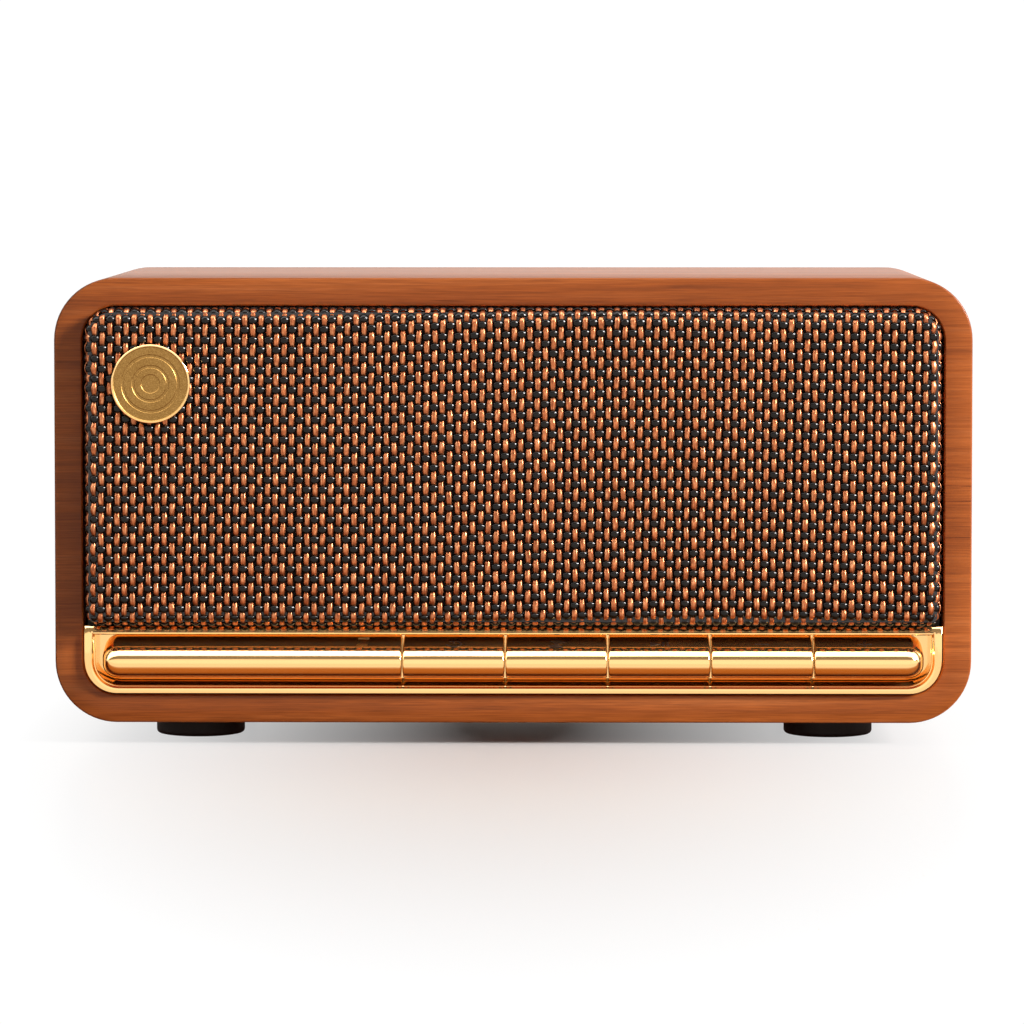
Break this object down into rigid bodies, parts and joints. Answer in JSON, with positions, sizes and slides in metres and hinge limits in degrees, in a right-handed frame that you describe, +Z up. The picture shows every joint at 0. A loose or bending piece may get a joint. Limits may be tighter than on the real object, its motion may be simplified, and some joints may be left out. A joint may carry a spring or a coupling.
{
  "type": "tabletop radio",
  "caption": "Wooden radio-styled tabletop speaker with a woven cloth grille, a gilt strip of press keys below it, a round badge and disc feet.",
  "frame": {"origin": "centre of the bounding box in X and Y, on the surface the feet stand on", "axes": "+X to the right seen from the front, +Y towards the back, +Z up; the front faces -Y"},
  "size_m": [0.163, 0.0808, 0.0832],
  "materials": {
    "oiled_wood": "satin oiled veneer, horizontal grain",
    "foot_rubber": "matte moulded rubber",
    "black_abs": "fine spark-eroded texture",
    "black_rubber": "smooth matte rubber",
    "woven_cloth": "plain weave of copper tape and glossy black thread",
    "satin_gilt": "bead-blasted gold with a polished rim",
    "bright_gilt": "bright gold electroplate over ABS, mirror polish",
    "clear_lens": "clear moulded light guide",
    "bright_steel": "drawn and pressed bright steel",
    "circuit_board": "green solder mask",
    "grey_plastic": "plain moulded grey",
    "zinc_plate": "bright zinc plate",
    "magnet_ferrite": "dull ground ferrite",
    "cone_paper": "black pulp with a felted surface",
    "coil_copper": "lacquered copper winding",
    "spider_cloth": "resin-dipped cotton",
    "cell_wrap": "shrink sleeve",
    "red_cable": "flexible insulation"
  },
  "bodies": {
    "cabinet": {"cabinet_shell": "oiled_wood", "foot_front_left": "foot_rubber", "foot_front_right": "foot_rubber", "foot_rear_left": "foot_rubber", "foot_rear_right": "foot_rubber", "rear_panel": "black_abs", "grille_frame": "black_abs", "front_baffle": "black_abs", "battery_tray": "black_abs", "aux_socket": "black_abs", "key_switch_1": "black_abs", "key_switch_2": "black_abs", "key_switch_3": "black_abs", "key_switch_4": "black_abs", "key_switch_5": "black_abs", "radiator_surround": "black_rubber", "driver_left_surround": "black_rubber", "driver_right_surround": "black_rubber", "grille_cloth": "woven_cloth", "badge": "satin_gilt", "key_bezel": "bright_gilt", "fixed_bar": "bright_gilt", "indicator_lens": "clear_lens", "key_pivot_rod": "bright_steel", "usb_socket": "bright_steel", "card_socket": "bright_steel", "driver_left_basket": "bright_steel", "driver_right_basket": "bright_steel", "key_board": "circuit_board", "main_board": "circuit_board", "key_ribbon": "grey_plastic", "driver_left_yoke": "zinc_plate", "driver_right_yoke": "zinc_plate", "rear_screw_low_left": "zinc_plate", "rear_screw_low_right": "zinc_plate", "rear_screw_high_left": "zinc_plate", "rear_screw_high_right": "zinc_plate", "driver_left_magnet": "magnet_ferrite", "driver_right_magnet": "magnet_ferrite", "driver_left_spider": "spider_cloth", "driver_right_spider": "spider_cloth", "battery_cell": "cell_wrap", "speaker_lead_left": "red_cable", "speaker_lead_right": "red_cable", "battery_lead": "red_cable"},
    "power_key": {"power_key": "bright_gilt", "switch_plunger_1": "grey_plastic"},
    "source_key": {"source_key": "bright_gilt", "switch_plunger_2": "grey_plastic"},
    "play_key": {"play_key": "bright_gilt", "switch_plunger_3": "grey_plastic"},
    "volume_down_key": {"volume_down_key": "bright_gilt", "switch_plunger_4": "grey_plastic"},
    "volume_up_key": {"volume_up_key": "bright_gilt", "switch_plunger_5": "grey_plastic"},
    "driver_left_moving": {"driver_left_cone": "cone_paper", "driver_left_voice_coil": "coil_copper"},
    "driver_right_moving": {"driver_right_cone": "cone_paper", "driver_right_voice_coil": "coil_copper"},
    "radiator_mass": {"radiator_plate": "black_abs"}
  },
  "joints": [
    {"name": "power_key_press", "type": "hinge", "parent": "cabinet", "child": "power_key", "pos_m": [-0.0105, -0.0176, 0.0164], "axis": [1, 0, 0], "range_deg": [0, 1.8], "stiffness_Nm_per_rad": 0.4, "springref_deg": -1.72},
    {"name": "source_key_press", "type": "hinge", "parent": "cabinet", "child": "source_key", "pos_m": [0.00775, -0.0176, 0.0164], "axis": [1, 0, 0], "range_deg": [0, 1.8], "stiffness_Nm_per_rad": 0.4, "springref_deg": -1.72},
    {"name": "play_key_press", "type": "hinge", "parent": "cabinet", "child": "play_key", "pos_m": [0.026, -0.0176, 0.0164], "axis": [1, 0, 0], "range_deg": [0, 1.8], "stiffness_Nm_per_rad": 0.4, "springref_deg": -1.72},
    {"name": "volume_down_key_press", "type": "hinge", "parent": "cabinet", "child": "volume_down_key", "pos_m": [0.04425, -0.0176, 0.0164], "axis": [1, 0, 0], "range_deg": [0, 1.8], "stiffness_Nm_per_rad": 0.4, "springref_deg": -1.72},
    {"name": "volume_up_key_press", "type": "hinge", "parent": "cabinet", "child": "volume_up_key", "pos_m": [0.0625, -0.0176, 0.0164], "axis": [1, 0, 0], "range_deg": [0, 1.8], "stiffness_Nm_per_rad": 0.4, "springref_deg": -1.72},
    {"name": "driver_left_stroke", "type": "slide", "parent": "cabinet", "child": "driver_left_moving", "axis": [0, -1, 0], "range_m": [-0.0015, 0.0015], "stiffness_N_per_m": 1400},
    {"name": "driver_right_stroke", "type": "slide", "parent": "cabinet", "child": "driver_right_moving", "axis": [0, -1, 0], "range_m": [-0.0015, 0.0015], "stiffness_N_per_m": 1400},
    {"name": "radiator_stroke", "type": "slide", "parent": "cabinet", "child": "radiator_mass", "axis": [0, 1, 0], "range_m": [-0.002, 0.002], "stiffness_N_per_m": 800}
  ]
}
